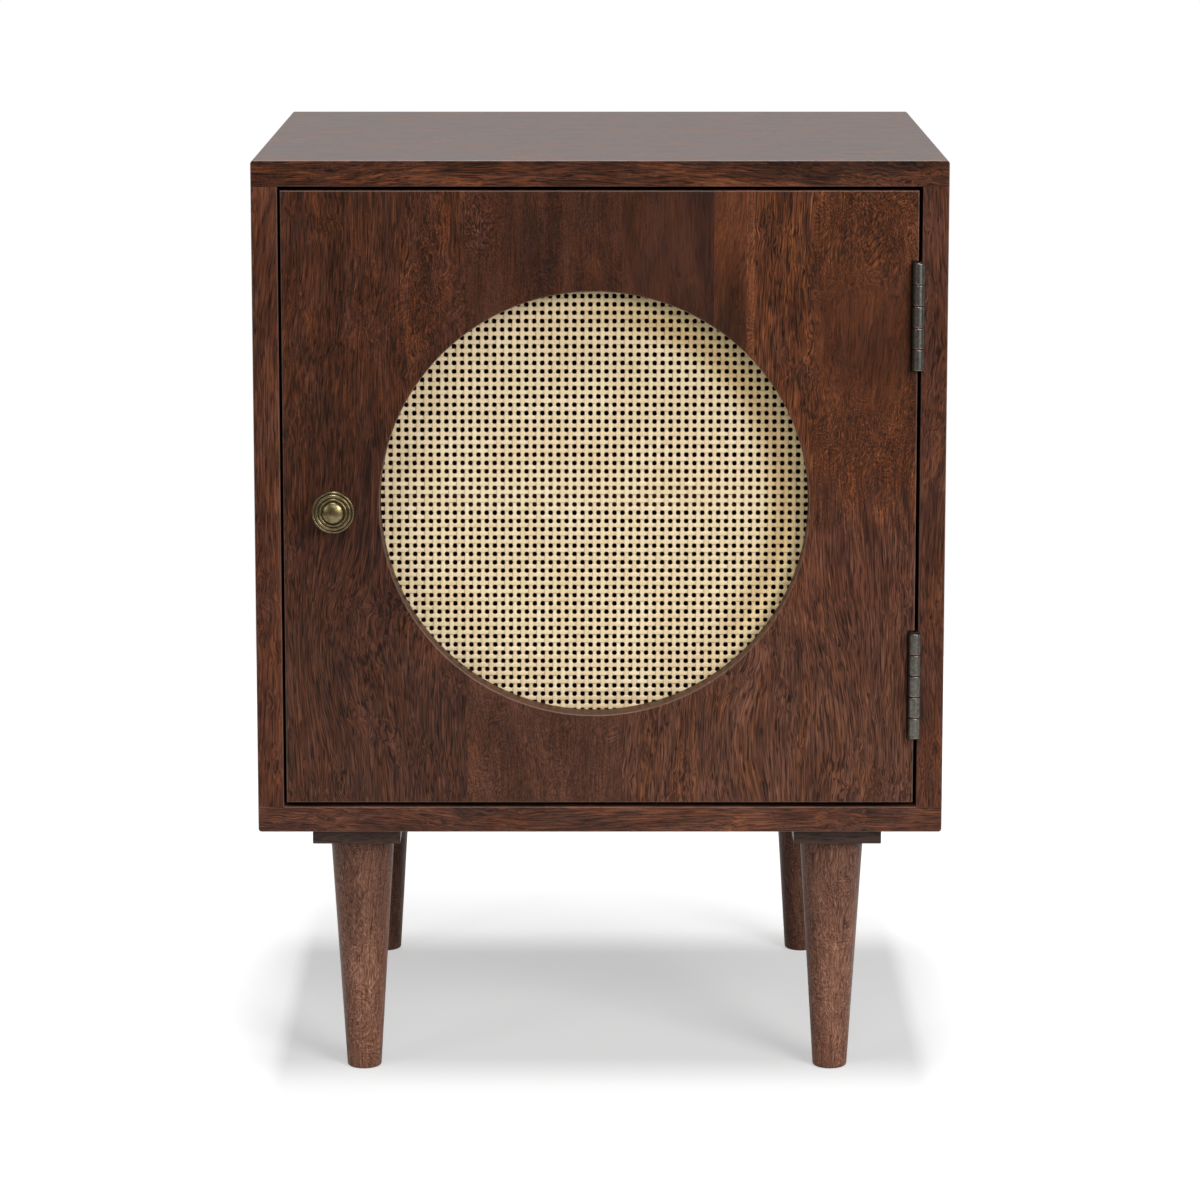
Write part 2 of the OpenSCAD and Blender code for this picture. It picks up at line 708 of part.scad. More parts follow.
// Open cane net: a flat disc with a square gap in each mesh that lies wholly
// inside the window, and holes where the ring's screws pass
module cane_panel() {
    gap = cane_pitch - cane_strand;
    clear_r = window_d / 2 - net_edge;
    reach = floor(clear_r / cane_pitch);
    color(cane_straw) difference() {
        translate([window_at[0], cane_y, window_at[2]]) rotate(TO_BACK)
            cylinder(r = cane_r, h = cane_t, $fn = 180);
        for (i = [-reach : reach], k = [-reach : reach])
            if (norm([abs(i) * cane_pitch + gap / 2, abs(k) * cane_pitch + gap / 2]) < clear_r)
                translate([window_at[0] + i * cane_pitch - gap / 2, cane_y - over,
                    window_at[2] + k * cane_pitch - gap / 2])
                    cube([gap, cane_t + 2 * over, gap]);
        place(ring_screw_spots, TO_FRONT) screw_hole(ring_screw_d, ring_screw_l);
    }
}

// Flat ring on the door's back, with eased edges on its open face
module cane_ring() {
    outer_r = window_d / 2 + ring_w;
    color(stained_wood) difference() {
        translate([window_at[0], ring_y, window_at[2]]) rotate(TO_BACK)
            rotate_extrude($fn = 180) difference() {
                translate([window_d / 2, 0]) square([ring_w, ring_t]);
                translate([window_d / 2, ring_t]) mirror([0, 1]) arris_profile(edge_r);
                translate([outer_r, ring_t]) rotate(180) arris_profile(edge_r);
            }
        place(ring_screw_spots, TO_FRONT) screw_hole(ring_screw_d, ring_screw_l);
    }
}

module cane_ring_screws() {
    color(antique_brass) place(ring_screw_spots, TO_FRONT) wood_screw(ring_screw_d, ring_screw_l);
}

module strike_plate() {
    color(zinc) difference() {
        block([catch_x - strike_w / 2, door_back_y, magnet_z - strike_h / 2],
            [catch_x + strike_w / 2, door_back_y + strike_t, magnet_z + strike_h / 2]);
        place(strike_screw_spots, TO_FRONT) screw_hole(catch_screw_d, catch_screw_l);
    }
}

module strike_screw() {
    color(zinc) place(strike_screw_spots, TO_FRONT) wood_screw(catch_screw_d, catch_screw_l);
}

// ---------- Knob ----------

// Half-section of a disc up to radius r and height h, with a rounded shoulder
module knob_step(r, h, round_r) {
    square([r - round_r, h]);
    square([r, h - round_r]);
    translate([r - round_r, h - round_r]) circle(round_r);
}

// Half-section of a raised ring of width w, h high, whose middle is at radius r
module knob_crest(r, h, w) {
    translate([r, h - w / 2]) circle(w / 2);
    translate([r - w / 2, 0]) square([w, h - w / 2]);
}

// Turned brass knob: a spreading foot, a waisted neck and a head. On the face a
// rim, a ring and a bead rise in low steps to a broad, gently domed button.
module knob() {
    foot_h = 2.5;
    foot_round = 0.8;
    cove_h = 2.5;
    flare_h = 4;
    line_w = 0.35;
    dome_gap = 0.8;
    shoulder_r = 1.4;
    line_depth = 0.9;
    cove_depth = 0.9;
    head_r = knob_d / 2;
    foot_r = knob_foot_d / 2;
    neck_r = knob_neck_d / 2;
    dome_r = knob_dome_d / 2;
    head_h = 0.7 * knob_reach;
    rim_h = 0.84 * knob_reach;
    ring_h = 0.875 * knob_reach;
    bead_h = 0.905 * knob_reach;
    ring_r = head_r - knob_rim_w - line_w - knob_ring_w / 2;
    bead_r = dome_r + dome_gap + knob_bead_w / 2;
    // The dome runs smoothly into the rounded shoulder of the button
    dome_z = knob_reach - knob_dome_r;
    blend_r = knob_dome_r - shoulder_r;
    shoulder_x = dome_r - shoulder_r;
    shoulder_z = dome_z + sqrt(blend_r * blend_r - shoulder_x * shoulder_x);
    color(antique_brass) translate(knob_at) rotate(TO_FRONT) difference() {
        rotate_extrude() {
            knob_step(foot_r, foot_h, foot_round);
            polygon([[0, 0], [foot_r - foot_round, foot_h], [neck_r, foot_h + cove_h],
                [neck_r, head_h - flare_h], [head_r - knob_rim_w / 2, head_h], [0, head_h]]);
            difference() {
                union() {
                    square([head_r - knob_rim_w / 2, rim_h - line_depth]);
                    square([ring_r, ring_h - cove_depth]);
                    knob_crest(head_r - knob_rim_w / 2, rim_h, knob_rim_w);
                    knob_crest(ring_r, ring_h, knob_ring_w);
                    knob_crest(bead_r, bead_h, knob_bead_w);
                    square([dome_r, shoulder_z]);
                    translate([shoulder_x, shoulder_z]) circle(shoulder_r);
                    intersection() {
                        square([shoulder_x * knob_dome_r / blend_r, knob_reach]);
                        translate([0, dome_z]) circle(knob_dome_r);
                    }
                }
                // The head stops at its back
                square([knob_d, head_h - foot_round]);
            }
        }
        translate([0, 0, -over])
            cylinder(d = knob_screw_d + 2 * hole_clear, h = over + knob_screw_in + end_clear);
    }
}

// Machine screw with a domed head on the door's back
module knob_screw() {
    head_d = 2 * knob_screw_d;
    head_h = 0.65 * knob_screw_d;
    color(zinc) translate(knob_at + [0, door_t, 0]) rotate(TO_FRONT) difference() {
        union() {
            cylinder(d = knob_screw_d, h = door_t + knob_screw_in);
            translate([0, 0, -head_h]) rotate_extrude() intersection() {
                square([head_d / 2, head_h]);
                union() {
                    translate([head_d / 2 - head_h, head_h]) circle(head_h);
                    square([head_d / 2 - head_h, head_h]);
                }
            }
        }
        translate([-head_d, -0.5, -head_h - over]) cube([2 * head_d, 1, over + head_h / 2]);
    }
}

// ---------- Nodes ----------

top_board();
bottom_board();
left_side();
right_side();
back_panel();
shelf();
carcass_dowels();
back_panel_screws();
leg_block(-1, leg_front_y);  // leg_block_front_left
leg_block(1, leg_front_y);  // leg_block_front_right
leg_block(-1, leg_back_y);  // leg_block_back_left
leg_block(1, leg_back_y);  // leg_block_back_right
leg(-1, leg_front_y);  // leg_front_left
leg(1, leg_front_y);  // leg_front_right
leg(-1, leg_back_y);  // leg_back_left
leg(1, leg_back_y);  // leg_back_right
leg_bolts();
leg_inserts();
leg_block_screws();
catch_housing();
catch_magnet();
catch_pole_plates();
catch_screws();
side_leaf(upper_hinge_z);  // upper_hinge_side_leaf
side_leaf(lower_hinge_z);  // lower_hinge_side_leaf
hinge_pin(upper_hinge_z);  // upper_hinge_pin
hinge_pin(lower_hinge_z);  // lower_hinge_pin
hinge_side_screws();
door_panel();
cane_panel();
cane_ring();
cane_ring_screws();
door_leaf(upper_hinge_z);  // upper_hinge_door_leaf
door_leaf(lower_hinge_z);  // lower_hinge_door_leaf
hinge_door_screws();
knob();
knob_screw();
strike_plate();
strike_screw();
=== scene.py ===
# Looks of the bedside pot cupboard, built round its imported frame. Metres, with X to
# the right, Y to the back and Z up, as in the frame. The materials count in millimetres.
import math
import random
from collections import namedtuple

import bpy
from mathutils import Matrix, Vector


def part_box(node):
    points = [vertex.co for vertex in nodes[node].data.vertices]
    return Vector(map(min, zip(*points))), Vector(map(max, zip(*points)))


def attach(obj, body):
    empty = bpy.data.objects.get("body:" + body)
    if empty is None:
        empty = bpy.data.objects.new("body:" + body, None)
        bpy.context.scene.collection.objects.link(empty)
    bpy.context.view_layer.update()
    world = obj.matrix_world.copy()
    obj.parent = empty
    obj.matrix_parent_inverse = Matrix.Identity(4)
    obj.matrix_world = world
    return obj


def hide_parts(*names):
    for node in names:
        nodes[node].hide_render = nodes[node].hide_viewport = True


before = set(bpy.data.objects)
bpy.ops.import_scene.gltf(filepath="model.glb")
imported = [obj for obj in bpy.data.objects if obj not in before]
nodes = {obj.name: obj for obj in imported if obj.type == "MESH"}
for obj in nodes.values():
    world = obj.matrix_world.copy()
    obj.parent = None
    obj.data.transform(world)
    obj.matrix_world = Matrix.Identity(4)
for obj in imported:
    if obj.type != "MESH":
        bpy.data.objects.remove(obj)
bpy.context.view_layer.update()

MM = 0.001
rng = random.Random(1670)


# ---------- Small helpers ----------

def linear(hex_colour):
    """The linear RGBA that a socket takes, from an sRGB hex colour."""
    out = []
    for i in (1, 3, 5):
        c = int(hex_colour[i:i + 2], 16) / 255
        out.append(c / 12.92 if c <= 0.04045 else ((c + 0.055) / 1.055) ** 2.4)
    return (*out, 1.0)


def stop_colour(given):
    """The RGBA of a stop in a colour ramp, from a hex colour, a grey or an RGB triple."""
    if isinstance(given, str):
        return linear(given)
    return (*given, 1) if isinstance(given, tuple) else (given, given, given, 1)


def add(tree, kind, inputs=None, stops=None, **settings):
    """Adds a node of this kind. An input is a plain value, a socket, or a node, whose first
    live output is meant. Stops are (place, colour), for a colour ramp."""
    node = tree.nodes.new("ShaderNode" + kind)
    for key, value in settings.items():
        setattr(node, key, value)
    if stops:
        elements = node.color_ramp.elements
        while len(elements) < len(stops):
            elements.new(1.0)
        for element, (place, colour) in zip(elements, stops):
            element.position = place
            element.color = stop_colour(colour)
    for key, given in (inputs or {}).items():
        if isinstance(given, bpy.types.Node):
            given = next(socket for socket in given.outputs if socket.enabled)
        if isinstance(given, bpy.types.NodeSocket):
            tree.links.new(given, node.inputs[key])
        else:
            node.inputs[key].default_value = given
    return node


def new_material(name):
    """An empty node material and its tree."""
    material = bpy.data.materials.new(name)
    material.use_nodes = True
    material.node_tree.nodes.clear()
    return material, material.node_tree


def object_place(tree, unit=MM):
    """Object coordinates, counted in this many metres."""
    place = add(tree, "TexCoord").outputs["Object"]
    return add(tree, "VectorMath", {0: place, "Scale": 1 / unit}, operation="SCALE")


def distance(tree, value, number):
    """How far a value lies from a number."""
    apart = add(tree, "Math", {0: value, 1: number}, operation="SUBTRACT")
    return add(tree, "Math", {0: apart}, operation="ABSOLUTE")


def dress(material, *names):
    """Gives CAD nodes this material."""
    for name in names:
        data = nodes[name].data
        data.materials.clear()
        data.materials.append(material)


def deselect():
    bpy.ops.object.select_all(action="DESELECT")


# ---------- Camera ----------

# The photograph was taken from straight in front, a little above the top board. Distance,
# height, tilt, lens and shift were fitted to the corners of the carcass, the window and the feet
camera_data = bpy.data.cameras.new("camera")
camera_data.sensor_width = 36
camera_data.lens = 134.55
camera_data.shift_y = -0.0859
camera_data.clip_end = 30
camera = bpy.data.objects.new("camera", camera_data)
camera.location = (0, -3.0672, 0.8733)
camera.rotation_euler = (math.radians(80.602), 0, 0)
bpy.context.scene.collection.objects.link(camera)
bpy.context.scene.camera = camera
bpy.context.scene.view_settings.view_transform = "Standard"


# ---------- Floor, lamps and surroundings ----------

FLOOR_RADIUS = 1.3
# What the camera sees added to the paper, which makes it white in full light
FLOOR_GLOW = 0.47
# Diffuse light from all round
AMBIENT = 0.14
# The dark room in front, as lacquer and metal mirror it
DARK_ROOM = 0.06
# Name, place, width, height, watts, and the point that the lamp faces
LAMPS = (
    ("overhead soft box", (0, 0.1, 9.0), 1.8, 7.0, 1120, (0, 0.1, 0)),
    ("key soft box, on the right", (1.93, -2.94, 1.64), 1.5, 1.5, 86, (0, -0.15, 0.40)),
    ("soft box above the camera", (-0.1, -3.3, 2.4), 1.2, 0.6, 14, (0, -0.15, 0.40)),
    ("tall soft box, right", (1.35, -2.40, 1.00), 0.5, 1.6, 5, (0, -0.1, 0.42)),
    ("tall soft box, left", (-1.95, -2.05, 1.30), 0.6, 1.2, 9, (0, -0.1, 0.42)),
)


def mirrored(tree, path):
    """1 for what is seen as a reflection or through glass."""
    return add(tree, "Math", {0: path.outputs["Is Glossy Ray"],
                              1: path.outputs["Is Transmission Ray"]}, operation="MAXIMUM")


def make_floor():
    """Pale round sheet under the feet. The camera sees it lit up to white outside the shadow."""
    deselect()
    bpy.ops.mesh.primitive_circle_add(vertices=96, radius=FLOOR_RADIUS, fill_type="NGON",
                                      location=(0, 0, 0))
    floor = bpy.context.object
    floor.name = "floor"
    material, tree = new_material("matt white paper sweep")
    path = add(tree, "LightPath")
    seen = add(tree, "Math", {0: path.outputs["Is Camera Ray"], 1: mirrored(tree, path)},
               operation="MAXIMUM")
    paper = add(tree, "BsdfDiffuse", {"Color": linear("#a4a4a4")})
    paper_seen = add(tree, "BsdfDiffuse", {"Color": linear("#b7b7b7")})
    glow = add(tree, "Emission", {"Color": (1, 1, 1, 1), "Strength": FLOOR_GLOW})
    lit = add(tree, "AddShader", {0: paper_seen, 1: glow})
    mix = add(tree, "MixShader", {0: seen, 1: paper, 2: lit})
    add(tree, "OutputMaterial", {"Surface": mix})
    floor.data.materials.append(material)


def make_world():
    """White behind the cupboard and a dark room in front of it, as the camera and the mirrors
    see them. Diffuse light comes evenly from all round."""
    world = bpy.data.worlds.new("studio")
    bpy.context.scene.world = world
    world.use_nodes = True
    tree = world.node_tree
    tree.nodes.clear()
    path = add(tree, "LightPath")
    toward = add(tree, "SeparateXYZ", {0: add(tree, "TexCoord").outputs["Generated"]})
    behind = add(tree, "MapRange", {"Value": toward.outputs["Y"], "From Min": -0.25,
                                    "From Max": 0.45, "To Min": DARK_ROOM},
                 interpolation_type="SMOOTHSTEP")
    ambient = add(tree, "Mix", {0: mirrored(tree, path), 2: AMBIENT, 3: behind},
                  data_type="FLOAT")
    strength = add(tree, "Mix", {0: path.outputs["Is Camera Ray"], 2: ambient, 3: 1.0},
                   data_type="FLOAT")
    background = add(tree, "Background", {"Color": (1, 1, 1, 1), "Strength": strength})
    add(tree, "OutputWorld", {"Surface": background})


def make_lamp(name, place, width, height, watts, aim):
    """A soft box that faces the aim."""
    data = bpy.data.lights.new(name, "AREA")
    data.shape = "RECTANGLE"
    data.size = width
    data.size_y = height
    data.energy = watts
    lamp = bpy.data.objects.new(name, data)
    away = Vector(place) - Vector(aim)
    lamp.location = place
    lamp.rotation_euler = away.to_track_quat("Z", "Y").to_euler()
    bpy.context.scene.collection.objects.link(lamp)


make_floor()
make_world()
for lamp in LAMPS:
    make_lamp(*lamp)


# ---------- Wood ----------

# From the darkest fibres to the brightest streaks: the brown stain on purplish and on orange
# wood, the thinner stain of the legs on purplish and on ruddy wood (the ruddy one is painted
# light from the floor, on the front legs' feet), the dark one of the blocks and the ring, and
# bare beech
COOL = ((0.0, "#20120e"), (0.25, "#341e17"), (0.5, "#4b2c20"), (0.75, "#643d2d"), (1.0, "#7f513d"))
WARM = ((0.0, "#21120a"), (0.25, "#371e10"), (0.5, "#522b17"), (0.75, "#703e21"), (1.0, "#90572e"))
PALE = ((0.0, "#422922"), (0.25, "#583a2f"), (0.5, "#724e3d"), (0.75, "#8b6451"), (1.0, "#a98370"))
RUDDY = ((0.0, "#452920"), (0.25, "#5c3a2c"), (0.5, "#774f3e"), (0.75, "#916551"), (1.0, "#af8570"))
DARK = ((0.0, "#241a17"), (0.5, "#382a24"), (1.0, "#54423a"))
BEECH = ((0.0, "#a8865a"), (1.0, "#dcc197"))
# Where in the tree a board with seed 1 was cut, in millimetres
SEED_STEP = (71.3, 33.7, 127.1)


def grain_place(tree, along):
    """Object coordinates in millimetres, turned so that the grain runs along the third axis."""
    place = object_place(tree)
    if along == "Z":
        return place
    axes = add(tree, "SeparateXYZ", {0: place})
    order = {"X": ("Y", "Z", "X"), "Y": ("X", "Z", "Y")}[along]
    return add(tree, "CombineXYZ", {i: axes.outputs[axis] for i, axis in enumerate(order)})


def fibres(tree, place, across, length, detail=1.0):
    """A cloudy pattern drawn out along the grain. Its blots have these sizes in millimetres."""
    shrink = (1 / across, 1 / across, 1 / length)
    squeezed = add(tree, "VectorMath", {0: place, 1: shrink}, operation="MULTIPLY")
    return add(tree, "TexNoise", {"Vector": squeezed, "Scale": 1.0, "Detail": detail})


def sway(tree, place, pattern, amount, along=0.0):
    """Shifts the place across the grain by a pattern's colour, up to amount millimetres, and
    by this share of it along the grain."""
    centred = add(tree, "VectorMath", {0: pattern.outputs["Color"], 1: (0.5, 0.5, 0.5)},
                  operation="SUBTRACT")
    share = add(tree, "VectorMath", {0: centred, 1: (2, 2, 2 * along)}, operation="MULTIPLY")
    shift = add(tree, "VectorMath", {0: share, "Scale": amount}, operation="SCALE")
    return add(tree, "VectorMath", {0: place, 1: shift}, operation="ADD")


def wind(tree, place, bend):
    """Lets the grain wander slowly over the board and bend in patches."""
    wandered = sway(tree, place, fibres(tree, place, 80, 260), 20)
    patch = fibres(tree, place, 35, 50)
    reach = add(tree, "MapRange", {"Value": patch, "From Min": 0.48, "From Max": 0.66,
                                   "To Min": 0.4, "To Max": 4.2},
                interpolation_type="SMOOTHSTEP")
    reach = add(tree, "Math", {0: reach, 1: bend}, operation="MULTIPLY")
    return sway(tree, wandered, fibres(tree, wandered, 7, 15), reach, 0.5)


def wood(name, stains=(COOL, WARM), along="Z", seed=0.0, tone=0.4, streaks=1.0, clouds=1.0,
         curls=0.0, bend=1.0, warmth=0.5, top_shade_share=1.0, arris_highlight=0.0, rough=0.44, specular=0.13,
         break_up=None, figure=None, finish=None):
    """Stained mango wood, sanded and sealed with a satin lacquer: thin dark lines that follow
    the grain, purplish and orange clouds, curly patches and short open pores. break_up moves
    parts of the board to other places in the tree, figure gives the five strengths that vary
    over it, and finish changes its colour at the end."""
    material, tree = new_material(name)
    board = grain_place(tree, along)
    cut_at = tuple(seed * step for step in SEED_STEP)
    place = add(tree, "VectorMath", {0: board, 1: cut_at}, operation="ADD")
    if break_up:
        place = break_up(tree, board, place)
    if figure:
        tone, streaks, curls, bend, warmth = figure(tree, board)
    bent = wind(tree, place, bend)
    # Strokes 1 mm wide, the finest that still show, with bands and clouds
    fine = fibres(tree, bent, 0.95, 22)
    band = fibres(tree, bent, 3.4, 55)
    cloud = fibres(tree, bent, 15, 50, 2)
    streak = add(tree, "Math", {0: fine, 1: 0.63}, operation="SUBTRACT")
    streak = add(tree, "Math", {0: band, 1: 0.28, 2: streak}, operation="MULTIPLY_ADD")
    shade = add(tree, "Math", {0: streak, 1: streaks, 2: tone}, operation="MULTIPLY_ADD")
    cloudy = add(tree, "Math", {0: cloud, 1: 0.5}, operation="SUBTRACT")
    shade = add(tree, "Math", {0: cloudy, 1: 0.55 * clouds, 2: shade}, operation="MULTIPLY_ADD")
    # Growth lines: thin and dark, 2 to 3 mm apart, winding with the grain
    off_line = distance(tree, fibres(tree, bent, 2.3, 60, 0), 0.5)
    line = add(tree, "MapRange", {"Value": off_line, "From Max": 0.09,
                                  "To Min": -0.16, "To Max": 0.035},
               interpolation_type="SMOOTHSTEP")
    shade = add(tree, "Math", {0: line, 1: streaks, 2: shade}, operation="MULTIPLY_ADD")
    # Curls: short pale strokes that lie across the grain at all angles, drawn 0.8 mm wide so
    # that they show
    swirled = sway(tree, place, fibres(tree, place, 19, 25, 0), 17, 1.0)
    stroke = fibres(tree, swirled, 0.8, 3.2, 0)
    stroke = add(tree, "Math", {0: stroke, 1: 0.5}, operation="SUBTRACT")
    stroke = add(tree, "Math", {0: stroke, 1: curls}, operation="MULTIPLY")
    shade = add(tree, "Math", {0: stroke, 1: 1.25, 2: shade}, operation="MULTIPLY_ADD")
    # The second stain lies in clouds, which warmth widens
    stained = add(tree, "ValToRGB", {"Fac": shade}, stops=stains[0])
    if len(stains) > 1:
        hue = fibres(tree, bent, 11, 40, 2)
        hue = add(tree, "Math", {0: hue, 1: 1.9, 2: -0.95}, operation="MULTIPLY_ADD")
        hue = add(tree, "Math", {0: hue, 1: warmth}, operation="ADD", use_clamp=True)
        second = add(tree, "ValToRGB", {"Fac": shade}, stops=stains[1])
        stained = add(tree, "Mix", {0: hue, 6: stained, 7: second}, data_type="RGBA")
    # Open pores, drawn 0.75 mm wide so that they show, and darker where the streaks are strong
    deepest = add(tree, "Math", {0: streaks, 1: -0.55, 2: 0.91}, operation="MULTIPLY_ADD")
    pore = add(tree, "MapRange", {"Value": fibres(tree, bent, 0.75, 11, 0), "From Min": 0.57,
                                  "From Max": 0.70, "To Min": 1.0, "To Max": deepest},
               interpolation_type="SMOOTHSTEP")
    colour = add(tree, "VectorMath", {0: stained, "Scale": pore}, operation="SCALE")
    facing = add(tree, "SeparateXYZ", {0: add(tree, "NewGeometry").outputs["True Normal"]})
    gloss = add(tree, "MapRange", {"Value": cloud, "From Min": 0.3, "From Max": 0.7,
                                   "To Min": rough - 0.04, "To Max": rough + 0.06})
    if top_shade_share < 1:
        # The upper face's colour is painted darker, as shade, and its lacquer is thicker and rubbed
        # flatter
        upper = add(tree, "MapRange", {"Value": facing.outputs["Z"], "From Min": 0.5,
                                       "From Max": 0.9})
        share = add(tree, "Math", {0: upper, 1: top_shade_share - 1, 2: 1.0}, operation="MULTIPLY_ADD")
        colour = add(tree, "VectorMath", {0: colour, "Scale": share}, operation="SCALE")
        specular = add(tree, "Math", {0: upper, 1: 0.49, 2: specular}, operation="MULTIPLY_ADD")
        gloss = add(tree, "Math", {0: upper, 1: 0.12, 2: gloss}, operation="MULTIPLY_ADD")
    if arris_highlight:
        # Painted highlight: the rounded edges, between front and side, are lightened toward pale
        # grey-pink, as the lacquer's highlight along them
        frontal = add(tree, "Math", {0: facing.outputs["Y"]}, operation="ABSOLUTE")
        edge = add(tree, "MapRange", {"Value": distance(tree, frontal, 0.5), "From Min": 0.49,
                                      "From Max": 0.35, "To Max": arris_highlight})
        colour = add(tree, "Mix", {0: edge, 6: colour, 7: linear("#a58a7e")}, data_type="RGBA")
    if finish:
        colour = finish(tree, board, colour)
    height = add(tree, "Math", {0: fine, 1: 0.5, 2: pore}, operation="MULTIPLY_ADD")
    bump = add(tree, "Bump", {"Height": height, "Strength": 0.35, "Distance": 0.12 * MM})
    shader = add(tree, "BsdfPrincipled", {"Base Color": colour, "Normal": bump, "IOR": 1.5,
                                          "Roughness": gloss, "Specular IOR Level": specular})
    add(tree, "OutputMaterial", {"Surface": shader})
    return material


# ---------- Door ----------

# The door's edges and, at its right edge, the hinges' barrels, in millimetres: their left side,
# the height half way between them, each one's middle from there, half its length, and a
# knuckle's length
DOOR_LEFT = -206.2
DOOR_RIGHT = 205.7
BARREL_LEFT = 201.2
HINGES_Z = 393.7
HINGE_OFFSET = 121.6
BARREL_HALF = 35.0
KNUCKLE = 14.0

# Staves of the door above and below the window, from the free edge to the hinge edge: where
# each starts in millimetres from the middle, how far along the tree it was cut, its tone, the
# strength of its streaks and of its curls, and its warmth
Stave = namedtuple("Stave", "start cut tone streaks curls warmth")
STAVES_ABOVE = (
    Stave(DOOR_LEFT, 0.0, 0.39, 0.90, 0.15, 0.60),
    Stave(-87.5, 0.3, 0.36, 0.35, 0.45, 0.45),
    Stave(13.5, 0.5, 0.37, 0.35, 0.05, 0.40),
    Stave(42.5, 0.7, 0.35, 0.35, 0.0, 0.35),
    Stave(73.0, 0.8, 0.56, 0.45, 0.15, 0.75),
    Stave(93.5, 0.9, 0.62, 0.5, 0.6, 0.8),
    Stave(98.5, 0.9, 0.50, 1.20, 0.0, 0.85),
    Stave(138.0, 0.9, 0.46, 0.5, 0.9, 1.0),
)
STAVES_BELOW = (
    Stave(DOOR_LEFT, 0.0, 0.43, 1.0, 0.0, 0.15),
    Stave(-87.5, 0.3, 0.48, 0.4, 0.55, -0.25),
    Stave(13.5, 0.9, 0.58, 1.05, 0.05, 0.10),
)
# How far apart in the tree two staves lie whose cuts differ by 1, in millimetres
CUT_STEP = (160, 420, 2900)
# Ovals where the figure differs: middle x and z, half width and half height in millimetres,
# and what they add to the tone, the curls and the bending
OVALS = (
    (-80, 578, 15, 42, 0.10, 0.6, 0.0),
    (-130, 520, 52, 50, 0.02, 0.35, 1.2),
    (-165, 400, 44, 95, -0.11, 0.0, -0.8),
    (165, 400, 45, 70, -0.05, 0.0, 0.0),
    (-36, 562, 34, 38, -0.08, 0.0, 0.0),
    (172, 500, 60, 72, -0.04, -0.85, 1.0),
    (-106, 572, 14, 56, 0.08, 0.5, 0.5),
    (183, 385, 9, 9, 0.22, 0.2, 0.0),
    (84, 508, 18, 58, -0.24, -0.2, 0.0),
)
# Eyes that the grain flows round: middle x and z, half width and half height, and the push
EYES = ((84, 225, 34, 80, 8), (168, 222, 34, 60, -5), (150, 330, 24, 70, 5),
        (-170, 300, 32, 80, 7))


def spot(tree, board, x, z, half_width, half_height):
    """1 inside an upright oval on the door's face, fading to 0 at its edge. Millimetres."""
    off = add(tree, "VectorMath", {0: board, 1: (x, 0, z)}, operation="SUBTRACT")
    scaled = add(tree, "VectorMath", {0: off, 1: (1 / half_width, 0, 1 / half_height)},
                 operation="MULTIPLY")
    reach = add(tree, "VectorMath", {0: scaled}, operation="LENGTH")
    return add(tree, "MapRange", {"Value": reach, "From Min": 1.0, "From Max": 0.2},
               interpolation_type="SMOOTHSTEP")


def by_stave(tree, board, pick):
    """A value that each stave of the door has. The staves above the window give way to those
    below it over its middle, where few of them show."""
    axes = add(tree, "SeparateXYZ", {0: board})
    share = add(tree, "MapRange", {"Value": axes.outputs["X"], "From Min": DOOR_LEFT,
                                   "From Max": DOOR_RIGHT})
    upper = add(tree, "MapRange", {"Value": axes.outputs["Z"], "From Min": 350, "From Max": 440},
                interpolation_type="SMOOTHSTEP")
    ramps = []
    for staves in (STAVES_BELOW, STAVES_ABOVE):
        stops = [((stave.start - DOOR_LEFT) / (DOOR_RIGHT - DOOR_LEFT), pick(stave))
                 for stave in staves]
        ramp = add(tree, "ValToRGB", {"Fac": share}, stops)
        ramp.color_ramp.interpolation = "CONSTANT"
        ramps.append(ramp)
    return add(tree, "Mix", {0: upper, 6: ramps[0], 7: ramps[1]}, data_type="RGBA")


def door_break(tree, board, place):
    """Moves each stave's grain along the tree, so that it breaks at the joints, and bends it
    round the eyes."""
    cut = by_stave(tree, board, lambda stave: stave.cut)
    jump = add(tree, "VectorMath", {0: cut, 1: CUT_STEP}, operation="MULTIPLY")
    place = add(tree, "VectorMath", {0: place, 1: jump}, operation="ADD")
    for *oval, push in EYES:
        shift = add(tree, "VectorMath", {0: (push, 0, 0), "Scale": spot(tree, board, *oval)},
                    operation="SCALE")
        place = add(tree, "VectorMath", {0: place, 1: shift}, operation="ADD")
    return place


def door_figure(tree, board):
    """Tone, streaks, curls, bending and warmth over the door. The streaks are halved on their
    way through the ramp, which holds no more than 1."""
    stave = add(tree, "SeparateColor", {0: by_stave(
        tree, board, lambda stave: (stave.tone, stave.streaks / 2, stave.curls))})
    warmth = by_stave(tree, board, lambda stave: stave.warmth)
    streaks = add(tree, "Math", {0: stave.outputs[1], 1: 2.0}, operation="MULTIPLY")
    # Tone, curls and bending, which the ovals change
    figure = [stave.outputs[0], stave.outputs[2], 1.0]
    for *oval, more_tone, more_curls, more_bend in OVALS:
        inside = spot(tree, board, *oval)
        for i, more in enumerate((more_tone, more_curls, more_bend)):
            if more:
                figure[i] = add(tree, "Math", {0: inside, 1: more, 2: figure[i]},
                                operation="MULTIPLY_ADD")
    tone, curls, bend = figure
    curls = add(tree, "Math", {0: curls, 1: 0.0}, operation="MAXIMUM")
    return tone, streaks, curls, bend, warmth


